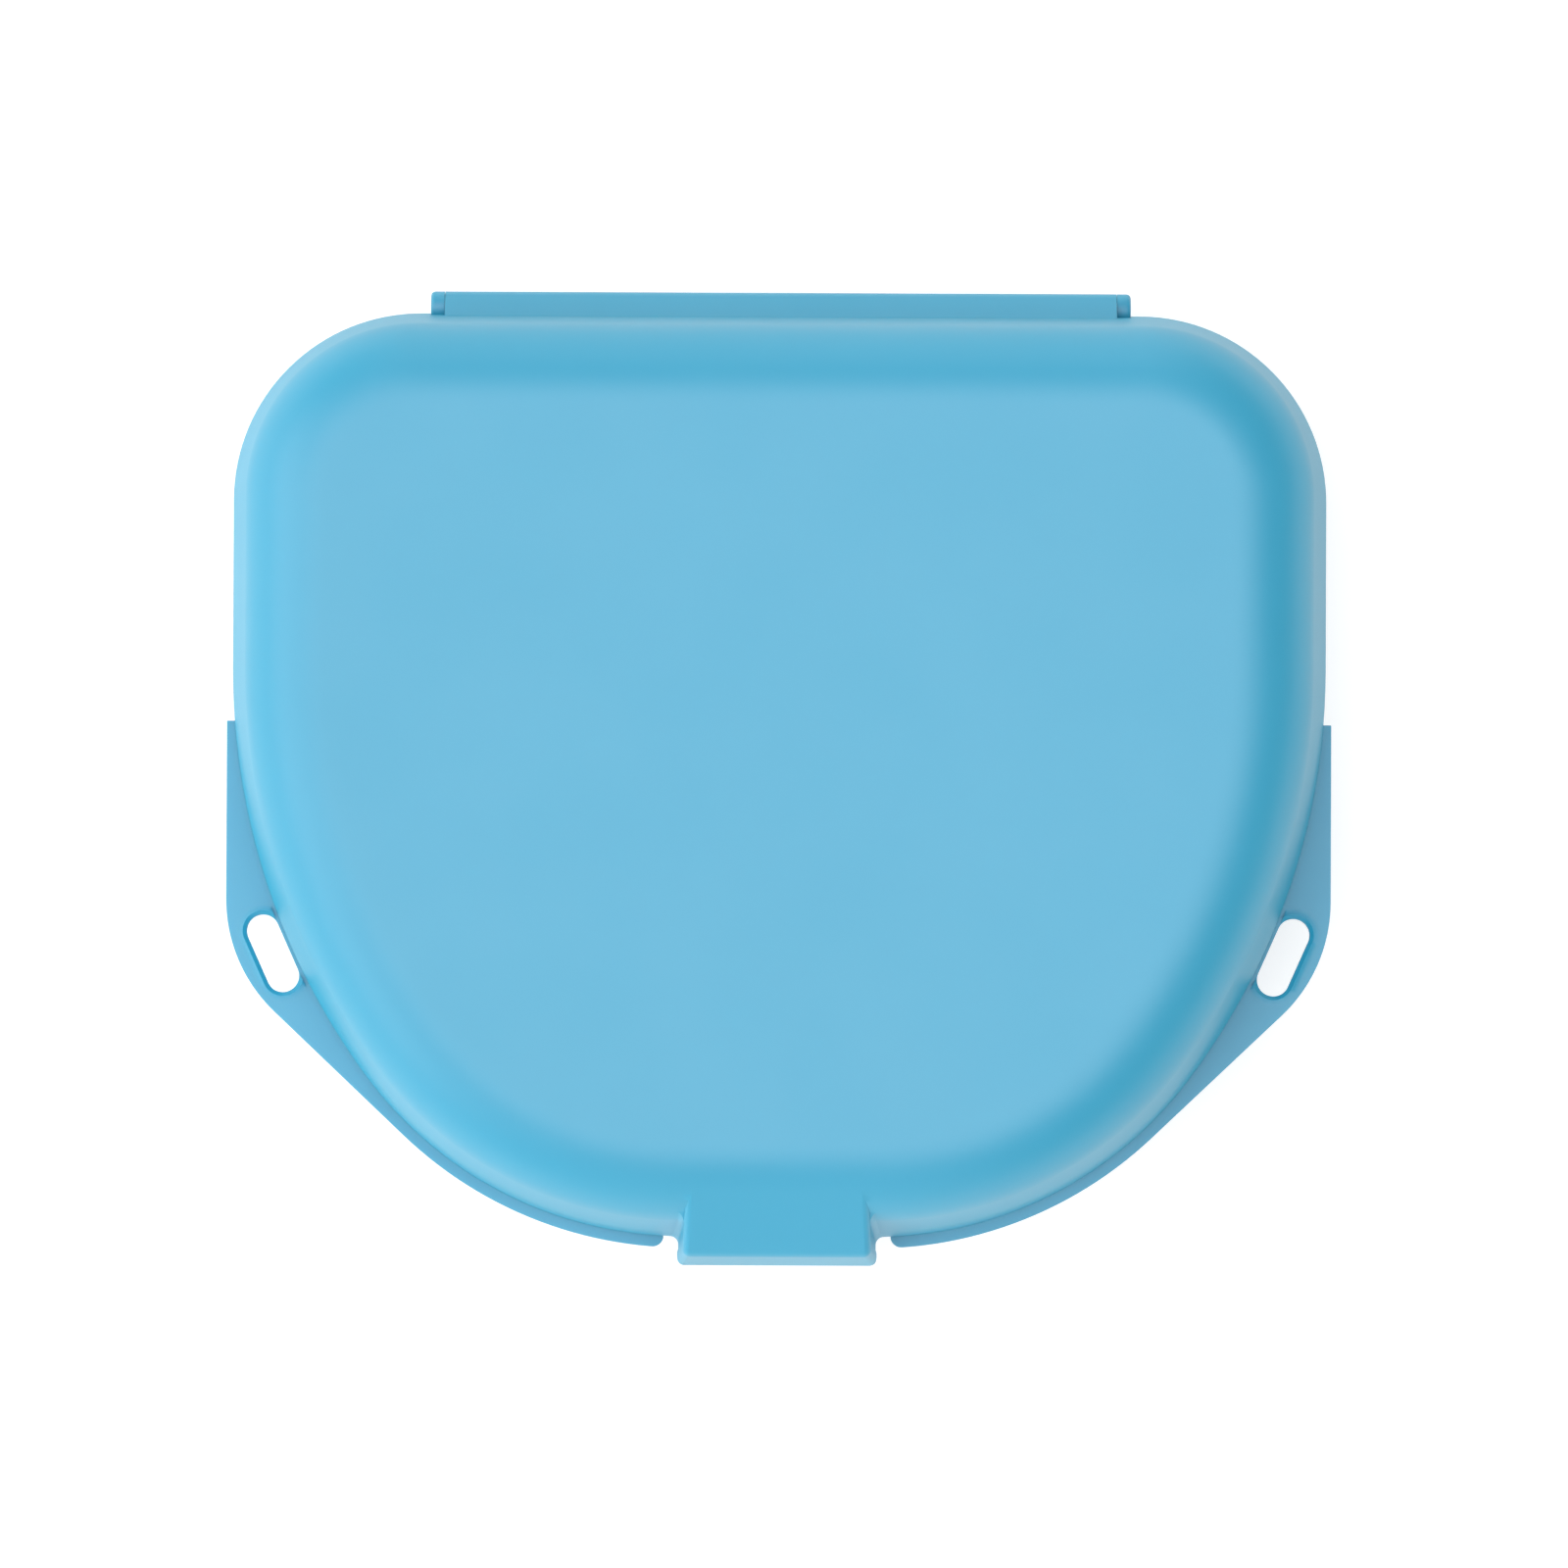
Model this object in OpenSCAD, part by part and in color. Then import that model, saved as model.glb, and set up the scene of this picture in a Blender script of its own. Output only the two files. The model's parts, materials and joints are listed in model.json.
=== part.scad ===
// Retainer case: a D-shaped clamshell box for an orthodontic retainer.
// Millimetres, +Z up, front towards -Y, origin on the table under the middle of the closed case.
// The base and lid share one outline. Each is a drafted, filleted section swept round that outline.

/* [Case] */
// Width of the base and lid mouldings
case_w = 80; // [74:0.5:90]
// Depth of the base and lid mouldings, without hinge and latch
case_d = 67.5; // [64:0.5:76]
// Height of the base
base_h = 13.2; // [11:0.1:18]
// Height of the lid
lid_h = 13.2; // [11:0.1:18]
// Wall thickness of both mouldings
wall_t = 1.6; // [1.2:0.1:2]
// Outside radius between wall and flat top or bottom
edge_r = 6; // [4:0.1:7]
// Draft of the walls, in degrees
wall_draft = 8; // [2:0.5:12]
// Gap between the two rims when the case is shut
rim_gap = 0.15; // [0.1:0.05:0.4]

/* [Outline] */
// Length of the flat stretch at the middle of the front
nose_w = 14; // [10:0.5:20]
// Radius of the long side curves
side_r = 50; // [44:0.5:60]
// Radius of the two back corners
back_r = 13.7; // [11:0.1:18]

/* [Locating lip] */
// Height of the lip that stands up inside the lid's rim
lip_h = 1.4; // [0.8:0.1:2.5]
// Thickness of the lip
lip_t = 0.9; // [0.6:0.1:1.4]
// Gap between the lip and the inside of the lid
lip_gap = 0.2; // [0.1:0.05:0.4]
// Depth below the rim at which the lip grows out of the wall
lip_root = 2.4; // [1.5:0.1:4]

/* [Flange and ears] */
// Reach of the front flange beyond the outline
flange_out = 0.8; // [0.5:0.1:1.5]
// Thickness of the flange and ears
flange_t = 1.6; // [1.2:0.1:2.4]
// Width of the gap in the flange where the latch hangs
flange_notch_w = 16.6; // [15.6:0.1:22]
// Reach of the ears beyond the side of the case
ear_out = 0.4; // [0.2:0.1:2]
// Distance from the front of the case to the back end of the ears
ear_back = 37.6; // [33:0.1:40]
// Radius of the ears' outer corners
ear_r = 11.4; // [8:0.1:13]
// Lean of the ears' straight front edges, in degrees from the front
ear_lean = 43.5; // [40:0.5:48]
// Length of the cord slot in each ear
slot_l = 6; // [5:0.1:8]
// Width of the cord slot in each ear
slot_w = 2.4; // [2:0.1:2.6]
// Strip left between the slot and the side of the case
slot_land = 0.2; // [0.1:0.05:0.5]
// Heading of the outline beside the slot, in degrees from the front
slot_heading = 66; // [64:0.5:70]
// Width of the raised collar round each slot
collar_w = 0.8; // [0.5:0.1:1]
// Height of the raised collar round each slot
collar_h = 0.3; // [0.2:0.05:0.6]
// Gap between a collar and the side of the lid
collar_gap = 0.25; // [0.15:0.05:0.5]

/* [Hinge] */
// Overall length of the hinge
hinge_l = 51.2; // [40:0.1:52]
// Diameter of the hinge barrel and of the two lugs
barrel_d = 2.4; // [2.2:0.1:3]
// Distance of the hinge axis behind the back of the case
hinge_out = 0.4; // [0.3:0.05:0.8]
// Width of each hinge lug on the base
lug_w = 1; // [0.8:0.1:2]
// Side gap between the lid's barrel and each lug
lug_gap = 0.1; // [0.06:0.02:0.3]
// Clearance of the hollows that take the barrel and the lugs
hinge_relief = 0.35; // [0.25:0.05:0.5]
// Lean of the webs that carry the barrel and the lugs, in degrees
web_lean = 45; // [40:1:50]
// Diameter of the hinge pins
pin_d = 1.2; // [1:0.1:1.4]
// Length of each hinge pin
pin_l = 6; // [4:0.1:12]
// Radial running clearance of the pins in the barrel
pin_fit = 0.04; // [0.02:0.01:0.08]
// Space left past the end of each pin
pin_end_gap = 0.3; // [0.2:0.05:0.6]
// Chamfer on the pins' ends
pin_chamfer = 0.15; // [0.1:0.05:0.3]

/* [Latch] */
// Width of the latch tab at its lower edge
tab_w = 14.6; // [12:0.1:15]
// Draft of the tab's front and sides, in degrees
tab_draft = 3; // [1:0.5:4]
// Reach of the tab beyond the front of the case
tab_out = 2.1; // [1.9:0.05:3]
// Depth of the tab below the lid's rim
tab_drop = 3.9; // [3.4:0.1:5]
// Thickness of the tab's walls
tab_t = 1.4; // [1.1:0.1:1.4]
// Slope of the tab's upper face, in degrees
ramp_tilt = 39; // [34:0.5:44]
// Radius of the edge between the tab's upper face and its front
tab_edge_r = 1; // [0.6:0.1:1.6]
// Radius of the tab's lower front edge
tab_lip_r = 0.6; // [0.4:0.05:0.65]
// Radius of the tab's two front corners at its lower edge
tab_corner_r = 0.7; // [0.6:0.05:1]
// Radius of the fillets between the tab's sides and the lid
tab_root_r = 0.6; // [0.3:0.05:0.8]
// Radius of the catch bead on the base and of the nub on the tab
bead_r = 0.6; // [0.4:0.05:0.7]
// Length of the catch bead on the base
bead_l = 9; // [6:0.5:10]
// Length of the nub on the tab
nub_l = 8; // [5:0.5:9]
// Depth of the catch bead's centre below the base's rim
bead_drop = 1.3; // [1:0.05:1.5]
// Overlap by which the nub holds under the bead
snap_bite = 0.3; // [0.1:0.05:0.4]
// Gap between nub and bead when the case is shut
snap_gap = 0.1; // [0.05:0.05:0.2]

/* [Hidden] */
$fn = 96;

// Straight sides run this far inside the round ends they join, so that the faces cross cleanly
seam = 0.01;
// Cutters reach this far past the face they cut
over = 1;
// Arcs are swept this many degrees past both ends, and then cut to length by a wedge
sector_over = 1;
// Blue polypropylene and bright pin steel
case_blue = [0.447, 0.745, 0.878];
pin_steel = [0.75, 0.76, 0.78];

// Places along the depth, with the origin under the middle of the closed case
overall_d = case_d + tab_out + hinge_out + barrel_d / 2;
back_y = overall_d / 2 - hinge_out - barrel_d / 2;
front_y = back_y - case_d;
half_w = case_w / 2;
hinge_y = back_y + hinge_out;

// Heights: the base's rim, the lid's rim, and the hinge axis midway between them
split_z = base_h;
lid_z = split_z + rim_gap;
hinge_z = split_z + rim_gap / 2;

// Outline: flat nose, front corner, long side curve, straight side, back corner.
// The hand-over heading is that of a 3-4-5 triangle, so the centres fall on round numbers.
hand_over = atan2(4, 3);
corner_r = (half_w - nose_w / 2 - side_r * (1 - sin(hand_over))) / sin(hand_over);
function outward(heading) = [sin(heading), -cos(heading)];
function along(heading) = [cos(heading), sin(heading)];
corner_c = [nose_w / 2, front_y + corner_r];
side_c = corner_c + (corner_r - side_r) * outward(hand_over);
back_c = [half_w - back_r, back_y - back_r];

// The core plate starts inside the rounded edge, and the section's flat part runs on past that
core_margin = 1;
core_in = edge_r + wall_t + core_margin;
section_in = core_in + core_margin;
core_steps = 8;
function arc_points(c, r, from, to) =
  [for (i = [0 : core_steps]) c + r * outward(from + (to - from) * i / core_steps)];
core_half = concat(
  arc_points(corner_c, corner_r - core_in, 0, hand_over),
  arc_points(side_c, side_r - core_in, hand_over, 90),
  arc_points(back_c, back_r - core_in, 90, 180));
core_points = concat(core_half, [for (i = [len(core_half) - 1 : -1 : 0]) [-core_half[i].x, core_half[i].y]]);

// Section of one half of the case, in outward distance from the outline and height above its rim
draft_run = tan(wall_draft);
wall_run = wall_t / cos(wall_draft);
function edge_center(h) = [-(h - edge_r) * draft_run - edge_r / cos(wall_draft), h - edge_r];

// Hinge
barrel_r = barrel_d / 2;
relief_r = barrel_r + hinge_relief;
lug_x = (hinge_l - lug_w) / 2;
lug_inner = hinge_l - 2 * lug_w;
barrel_l = lug_inner - 2 * lug_gap;
pin_x = (hinge_l - pin_l) / 2;
bore_depth = pin_l - lug_w - lug_gap + pin_end_gap;

// Flange band, ears and slots. An ear's straight edge leaves the band along its tangent.
// The band runs on some degrees inside the ear, and the ear's edge starts just inside the band.
band_r = corner_r + flange_out;
band_lap = 3;
band_end = ear_lean + band_lap;
ear_x = half_w + ear_out;
ear_y = front_y + ear_back;
ear_touch = corner_c + band_r * outward(ear_lean);
ear_c_x = ear_x - ear_r;
ear_c = [ear_c_x, ear_touch.y + (sin(ear_lean) * (ear_c_x - ear_touch.x) + ear_r) / cos(ear_lean)];
slot_c = side_c + (side_r + slot_land + slot_w / 2) * outward(slot_heading);

// Locating lip, in from the outline
lip_out = wall_run + lip_gap;
lip_in = lip_out + lip_t;

// Latch tab, in outward distance from the nose and height above the lid's rim.
// Its upper face is a plane that leaves the lid's rounded edge along the tangent.
fillet_c = edge_center(lid_h);
ramp_normal = [sin(ramp_tilt), cos(ramp_tilt)];
ramp_touch = fillet_c + edge_r * ramp_normal;
function ramp_height(u, depth) = ramp_touch.y - (depth + ramp_normal.x * (u - ramp_touch.x)) / ramp_normal.y;
// Its front and sides lean in towards the top, and all sizes of its plan hold at its lower edge
front_normal = [cos(tab_draft), sin(tab_draft)];
tab_lean = tan(tab_draft);
tab_inner = tab_out - tab_t;
tip_half = tab_w / 2;
rim_half = tip_half - tab_drop * tab_lean;
// The rounded upper edge touches the sloping face and the front
edge_front = front_normal * [tab_out, -tab_drop] - tab_edge_r;
edge_ramp = ramp_normal * ramp_touch - tab_edge_r;
tab_edge_c = [edge_front * ramp_normal.y - edge_ramp * front_normal.y,
  edge_ramp * front_normal.x - edge_front * ramp_normal.x] / cos(ramp_tilt + tab_draft);

// Snap: the bead sits on the base's wall, and the nub rests under it
bead_u = -bead_drop * draft_run;
nub_u = bead_u + 2 * bead_r - snap_bite;
nub_drop = bead_drop + sqrt(pow(2 * bead_r + snap_gap, 2) - pow(nub_u - bead_u, 2));

// Sweeps a section round an arc of the outline. The section's x is the outward distance.
module sweep_arc(c, r, from, to) {
  far = 2 * (r + section_in);
  first = from - sector_over - 90;
  translate([c.x, c.y, 0]) intersection() {
    rotate_extrude(angle = to - from + 2 * sector_over, start = first) translate([r, 0]) children();
    linear_extrude(height = 2 * (base_h + lid_h), center = true)
      polygon([[0, 0], far * outward(from), far * outward(to)]);
  }
}

// Sweeps a section along a straight stretch of the outline that starts at p with a heading
module sweep_line(p, heading, length) {
  translate([p.x, p.y, 0])
    rotate([0, 0, heading])
      rotate([90, 0, 90]) linear_extrude(height = length) mirror([1, 0]) children();
}

module both_sides() {
  children();
  mirror([1, 0, 0]) children();
}

module sweep_front() {
  sweep_line([-nose_w / 2, front_y], 0, nose_w) children();
  both_sides() sweep_arc(corner_c, corner_r, 0, hand_over) children();
  both_sides() sweep_arc(side_c, side_r, hand_over, 90) children();
}

module sweep_back() {
  both_sides() sweep_line([half_w, side_c.y], 90, back_c.y - side_c.y) children();
  both_sides() sweep_arc(back_c, back_r, 90, 180) children();
  sweep_line([back_c.x, back_y], 180, 2 * back_c.x) children();
}

module sweep_outline() {
  sweep_front() children();
  sweep_back() children();
}

// Extrudes a drawing of the Y-Z plane along X, about the middle of the case
module along_x(length) {
  rotate([90, 0, 90]) linear_extrude(height = length, center = true) children();
}

// Turns outward distance and height above the lid's rim into the Y-Z plane at the nose
module at_nose() {
  translate([front_y, lid_z]) mirror([1, 0]) children();
}

module cylinder_x(r, length) {
  rotate([0, 90, 0]) cylinder(r = r, h = length, center = true);
}

// Solid section: drafted wall, rounded edge of radius r round c, and a flat end at height h
module half_section(c, r, h, wall_u, foot) {
  foot_u = wall_u - foot * draft_run;
  difference() {
    polygon([[foot_u, foot], [wall_u - h * draft_run, h], [-section_in, h], [-section_in, foot]]);
    difference() {
      polygon([c, c + [edge_r, edge_r * draft_run] * 2, [c.x + 2 * edge_r, h + over], [c.x, h + over]]);
      translate(c) circle(r = r);
    }
  }
}

// Outer form of one half of the case, rim at z = 0 and flat end at z = h
module half_outside(h) {
  sweep_outline() half_section(edge_center(h), edge_r, h, 0, 0);
  linear_extrude(height = h) polygon(core_points);
}

// Space inside one half of the case, open below the rim
module half_inside(h) {
  floor_h = h - wall_t;
  sweep_outline() half_section(edge_center(h), edge_r - wall_t, floor_h, -wall_run, -over);
  translate([0, 0, -over]) linear_extrude(height = floor_h + over) polygon(core_points);
}

// Web that carries the barrel or a lug: a plane tangent to the barrel runs up to the wall
module hinge_web() {
  normal = [cos(web_lean), sin(web_lean)];
  wall_mid = back_y - wall_t / 2 - hinge_y;
  touch = barrel_r * normal;
  run = (touch.x - wall_mid) / sin(web_lean);
  polygon([
    touch,
    touch + run * [-sin(web_lean), cos(web_lean)],
    [wall_mid, rim_gap / 2],
    [0, rim_gap / 2]]);
}

module at_hinge() {
  translate([0, hinge_y, hinge_z]) children();
}

// Outline of a cord slot, grown all round for its collar
module slot_outline(grow) {
  w = slot_w + 2 * grow;
  reach = (slot_l - slot_w) / 2;
  square([w - 2 * seam, 2 * reach], center = true);
  for (side = [-1, 1]) translate([0, side * reach]) circle(d = w);
}

module at_slot() {
  translate([slot_c.x, slot_c.y, 0]) rotate([0, 0, slot_heading - 90]) children();
}

// One ear: straight side, round corner and a straight edge that runs into the flange band
module ear_outline() {
  lead_in = flange_out / 4;
  edge_start = ear_touch - seam * outward(ear_lean) - lead_in * along(ear_lean);
  polygon([
    [ear_c.x, ear_y],
    [ear_x - seam, ear_y],
    [ear_x - seam, ear_c.y],
    ear_c + (ear_r - seam) * outward(ear_lean),
    edge_start,
    edge_start - 2 * wall_t * outward(ear_lean)]);
  translate(ear_c) circle(r = ear_r);
}

// Narrow flange along the front, left open at the latch, with the two ears.
// Its ends beside the latch are round.
module flange() {
  end_half = flange_notch_w / 2 + flange_out;
  end_turn = asin((end_half - nose_w / 2) / corner_r);
  end_c = corner_c + corner_r * outward(end_turn);
  translate([0, 0, split_z - flange_t]) both_sides() {
    sweep_arc(corner_c, corner_r, end_turn, band_end)
      translate([-wall_t, 0]) square([wall_t + flange_out, flange_t]);
    translate(end_c) cylinder(r = flange_out + seam, h = flange_t);
    linear_extrude(height = flange_t) ear_outline();
  }
}

module slot_collars() {
  both_sides() translate([0, 0, split_z - flange_t / 2])
    difference() {
      at_slot() linear_extrude(height = flange_t / 2 + collar_h) slot_outline(collar_w);
      translate([side_c.x, side_c.y, flange_t / 2])
        cylinder(r = side_r + collar_gap, h = collar_h + over);
    }
}

module lip_section() {
  polygon([
    [-lip_out - lip_h * draft_run, lip_h],
    [-lip_out, 0],
    [-wall_t / 2, 0],
    [-wall_t / 2, -lip_root],
    [-lip_in, lip_in - wall_t / 2 - lip_root],
    [-lip_in, lip_h]]);
}

module hinge_lugs() {
  both_sides() at_hinge() translate([lug_x, 0, 0]) {
    cylinder_x(barrel_r, lug_w);
    along_x(lug_w) mirror([0, 1]) hinge_web();
  }
}

module base_tray() {
  color(case_blue) difference() {
    union() {
      difference() {
        union() {
          translate([0, 0, split_z]) mirror([0, 0, 1]) half_outside(base_h);
          flange();
          slot_collars();
          hinge_lugs();
        }
        translate([0, 0, split_z]) mirror([0, 0, 1]) half_inside(base_h);
        at_hinge() cylinder_x(relief_r, lug_inner);
      }
      translate([0, 0, split_z]) sweep_front() lip_section();
      along_x(bead_l) at_nose() translate([bead_u, -bead_drop - rim_gap]) circle(r = bead_r);
    }
    both_sides() at_slot() translate([0, 0, split_z - flange_t - over])
      linear_extrude(height = flange_t + collar_h + 2 * over) slot_outline(0);
    at_hinge() cylinder_x(pin_d / 2, hinge_l + 2 * seam);
  }
}

// Latch tab seen from the side: sloping upper face, rounded edge, front wall and lower edge
module tab_section() {
  low = [tab_out - tab_lip_r * (tab_lean + 1 / front_normal.x), tab_lip_r - tab_drop];
  polygon([
    fillet_c,
    fillet_c + (edge_r - seam) * ramp_normal,
    tab_edge_c + (tab_edge_r - seam) * ramp_normal,
    tab_edge_c + (tab_edge_r - seam) * front_normal,
    low + (tab_lip_r - seam) * front_normal,
    low - [0, tab_lip_r],
    [tab_inner, -tab_drop],
    [tab_inner, 0],
    [fillet_c.x, 0]]);
  translate(tab_edge_c) circle(r = tab_edge_r);
  translate(low) circle(r = tab_lip_r);
}

// Hollow behind the tab's front wall
module tab_pocket_section() {
  roof_h = ramp_height(tab_inner, tab_t) / (1 - tan(ramp_tilt) * tab_lean);
  polygon([
    [fillet_c.x, -over],
    [tab_inner, -over],
    [tab_inner, 0],
    [tab_inner - roof_h * tab_lean, roof_h],
    [fillet_c.x, ramp_height(fillet_c.x, tab_t)]]);
}

// Space between the tab's two leaning sides, drawn in by an inset
module tab_sides(inset) {
  low_half = tip_half - inset;
  high_half = low_half - (tab_drop + lid_h) * tab_lean;
  translate([0, front_y - tab_out - over, lid_z]) rotate([90, 0, 0]) mirror([0, 0, 1])
    linear_extrude(height = tab_out + over - fillet_c.x)
      polygon([[-low_half, -tab_drop], [low_half, -tab_drop], [high_half, lid_h], [-high_half, lid_h]]);
}

// Everything but the two front corners, which are cones that touch the leaning front and sides
module tab_corners() {
  corner_u = tab_out - tab_corner_r;
  corner_half = tip_half - tab_corner_r;
  rise = tab_drop + lid_h;
  cone_h = tab_corner_r / tab_lean;
  translate([0, front_y, lid_z - tab_drop]) mirror([0, 1, 0]) {
    translate([-tip_half, fillet_c.x, 0]) cube([tab_w, corner_u - fillet_c.x, rise]);
    translate([-corner_half, fillet_c.x, 0]) cube([2 * corner_half, tab_out - fillet_c.x, rise]);
    both_sides() translate([corner_half, corner_u, 0])
      cylinder(r1 = tab_corner_r + seam, r2 = seam, h = cone_h);
  }
}

// Section of a root fillet. Its back is sunk into both faces that it joins, and its arc dips into them.
module root_section() {
  sunk = wall_t / 2;
  dip = 3 * seam;
  difference() {
    translate([-sunk, -sunk]) square(tab_root_r + sunk);
    translate([tab_root_r, tab_root_r]) circle(r = tab_root_r + dip);
  }
}

// Fillet up the tab's right side, which stops below the start of the lid's rounded edge
module root_fillet() {
  end_depth = tab_root_r + edge_r * (1 - cos(90 - wall_draft - ramp_tilt));
  intersection() {
    translate([rim_half, front_y, lid_z]) rotate([0, -tab_draft, 0]) rotate([-wall_draft, 0, 0])
      linear_extrude(height = 2 * lid_h, center = true) mirror([0, 1]) root_section();
    along_x(2 * tab_w) at_nose() polygon([
      [fillet_c.x, 0],
      [fillet_c.x, ramp_height(fillet_c.x, end_depth)],
      [tab_out, ramp_height(tab_out, end_depth)],
      [tab_out, 0]]);
  }
}

module latch_tab() {
  intersection() {
    difference() {
      along_x(2 * tab_w) at_nose() tab_section();
      intersection() {
        along_x(tab_w) at_nose() tab_pocket_section();
        tab_sides(tab_t);
      }
    }
    tab_sides(0);
    tab_corners();
  }
  both_sides() root_fillet();
  along_x(nub_l) at_nose() translate([nub_u, -nub_drop - rim_gap]) {
    circle(r = bead_r);
    translate([0, -bead_r]) square([tab_out - tab_t / 2 - nub_u, 2 * bead_r]);
  }
}

module lid_shell() {
  color(case_blue) difference() {
    union() {
      difference() {
        union() {
          translate([0, 0, lid_z]) half_outside(lid_h);
          latch_tab();
        }
        translate([0, 0, lid_z]) half_inside(lid_h);
        both_sides() at_hinge() translate([lug_x, 0, 0]) cylinder_x(relief_r, lug_w + 2 * lug_gap);
      }
      at_hinge() cylinder_x(barrel_r, barrel_l);
      at_hinge() along_x(barrel_l) hinge_web();
    }
    both_sides() at_hinge() translate([(barrel_l - bore_depth + over) / 2, 0, 0])
      cylinder_x(pin_d / 2 + pin_fit, bore_depth + over);
  }
}

module hinge_pin() {
  r = pin_d / 2;
  color(pin_steel) at_hinge() translate([pin_x, 0, 0]) rotate([0, 90, 0])
    rotate_extrude() polygon([
      [0, -pin_l / 2],
      [r - pin_chamfer, -pin_l / 2],
      [r, pin_chamfer - pin_l / 2],
      [r, pin_l / 2 - pin_chamfer],
      [r - pin_chamfer, pin_l / 2],
      [0, pin_l / 2]]);
}

module hinge_pin_right() {
  hinge_pin();
}

module hinge_pin_left() {
  mirror([1, 0, 0]) hinge_pin();
}

base_tray();
lid_shell();
hinge_pin_left();
hinge_pin_right();
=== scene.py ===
# %% [markdown]
# # A moulded retainer case
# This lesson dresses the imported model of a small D-shaped clamshell case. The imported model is
# the fixed frame: it says where the base, the lid and the two hinge pins are and how they move.
# We read it, measure it, and then model the two plastic mouldings again with softer edges.

# %% Load the frame
import json
import math

import bmesh
import bpy
from mathutils import Matrix, Vector


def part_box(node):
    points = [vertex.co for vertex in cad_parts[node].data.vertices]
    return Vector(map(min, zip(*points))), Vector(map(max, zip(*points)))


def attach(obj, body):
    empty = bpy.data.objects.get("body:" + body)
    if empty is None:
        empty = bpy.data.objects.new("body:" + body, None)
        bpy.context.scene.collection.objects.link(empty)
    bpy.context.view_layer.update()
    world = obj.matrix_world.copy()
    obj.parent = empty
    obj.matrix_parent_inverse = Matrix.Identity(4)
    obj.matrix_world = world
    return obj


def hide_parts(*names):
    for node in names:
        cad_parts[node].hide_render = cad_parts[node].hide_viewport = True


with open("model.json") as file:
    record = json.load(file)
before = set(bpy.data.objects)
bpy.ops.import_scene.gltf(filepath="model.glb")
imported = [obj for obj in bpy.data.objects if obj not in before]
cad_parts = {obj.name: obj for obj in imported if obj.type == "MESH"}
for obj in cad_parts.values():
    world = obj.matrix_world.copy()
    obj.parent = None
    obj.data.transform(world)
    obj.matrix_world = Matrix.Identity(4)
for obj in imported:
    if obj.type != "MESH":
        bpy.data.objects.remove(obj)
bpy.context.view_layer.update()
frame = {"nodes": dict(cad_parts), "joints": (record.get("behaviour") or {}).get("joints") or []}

# %% [markdown]
# ## Sizes
# Everything is in metres, because the frame is. The overall places come from the frame's own
# boxes and from its hinge joint, so the new meshes land where the CAD says. Sizes that many
# steps share are written here, in millimetres times MM. The others stand with their own step.

# %% Places and shared sizes
MM = 0.001

base_low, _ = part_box("base_tray")
_, lid_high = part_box("lid_shell")
hinge = Vector(frame["joints"][0]["pos_m"])

wall_t = 1.6 * MM
edge_r = 6.0 * MM
draft = math.radians(8)
rim_gap = 0.15 * MM
half_h = 13.2 * MM

base_rim = base_low.z + half_h
lid_rim = base_rim + rim_gap
print("base rim", base_rim / MM, "lid rim", lid_rim / MM, "top", lid_high.z / MM)

# %% [markdown]
# ## The outline
# Seen from above both mouldings share one outline: a flat nose at the latch, a wide front
# corner, a long side curve, a straight side and a tighter back corner. It could be traced as
# one free curve. Arcs that share a tangent are better here, because the wall can then be swept
# by one spin after another with no kink. The front corner hands over to the side curve at the
# heading of a 3-4-5 triangle. Only the right half is worked out; a mirror gives the left.

# %% Centres and radii of the outline
half_w = 40.0 * MM
depth = 67.5 * MM
hinge_out = 0.4 * MM
back_y = hinge.y - hinge_out
front_y = back_y - depth

nose_half = 7.0 * MM
side_r = 50.0 * MM
back_r = 13.7 * MM
hand_over = math.atan2(4, 3)


def outward(heading):
    """Unit vector that points out of the case where the outline runs at this heading."""
    return Vector((math.sin(heading), -math.cos(heading), 0))


side_part = side_r * (1 - math.sin(hand_over))
corner_r = (half_w - nose_half - side_part) / math.sin(hand_over)
corner_c = Vector((nose_half, front_y + corner_r, 0))
side_c = corner_c + (corner_r - side_r) * outward(hand_over)
back_c = Vector((half_w - back_r, back_y - back_r, 0))
print("front corner radius", round(corner_r / MM, 3), "mm, side centre", side_c / MM)

# %% [markdown]
# ## Drawing with a vertex
# A moulding is one section carried round an outline. By hand you would merge a plane to a
# single vertex, extrude it from point to point to draw the section, and then extrude or spin
# the drawing. The helpers below do just that. Each one works on what is selected in edit mode.

# %% Helpers that draw a section
def start_point(name, place):
    """A new plane merged to one vertex, left selected in edit mode."""
    bpy.ops.object.select_all(action="DESELECT")
    bpy.ops.mesh.primitive_plane_add(size=MM, location=place)
    piece = bpy.context.object
    piece.name = piece.data.name = name
    bpy.ops.object.transform_apply(location=True, rotation=True, scale=True)
    bpy.ops.object.mode_set(mode="EDIT")
    bpy.ops.mesh.select_mode(type="VERT")
    bpy.ops.mesh.select_all(action="SELECT")
    bpy.ops.mesh.merge(type="CENTER")
    return piece


def draw(name, points):
    """Extrudes one vertex along the points, and selects the whole line."""
    piece = start_point(name, points[0])
    for here, there in zip(points, points[1:]):
        bpy.ops.mesh.extrude_region_move(TRANSFORM_OT_translate={"value": there - here})
    bpy.ops.mesh.select_all(action="SELECT")
    return piece


def arc(centre, radius, first, last, steps):
    """Points on an arc of a flat drawing; angles in degrees, counted from the first axis."""
    turn = (last - first) / steps
    angles = [math.radians(first + turn * i) for i in range(steps + 1)]
    return [centre + radius * Vector((math.cos(a), math.sin(a))) for a in angles]


def slide(vector, steps=1):
    """Extrudes the selection along a vector in equal steps."""
    for _ in range(steps):
        bpy.ops.mesh.extrude_region_move(TRANSFORM_OT_translate={"value": vector / steps})


def spin(centre, angle, steps, axis=(0, 0, 1)):
    """Spins the selection to the left, seen against the axis; the operator itself turns right."""
    bpy.ops.mesh.spin(steps=steps, angle=-angle, center=centre, axis=axis)


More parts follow.
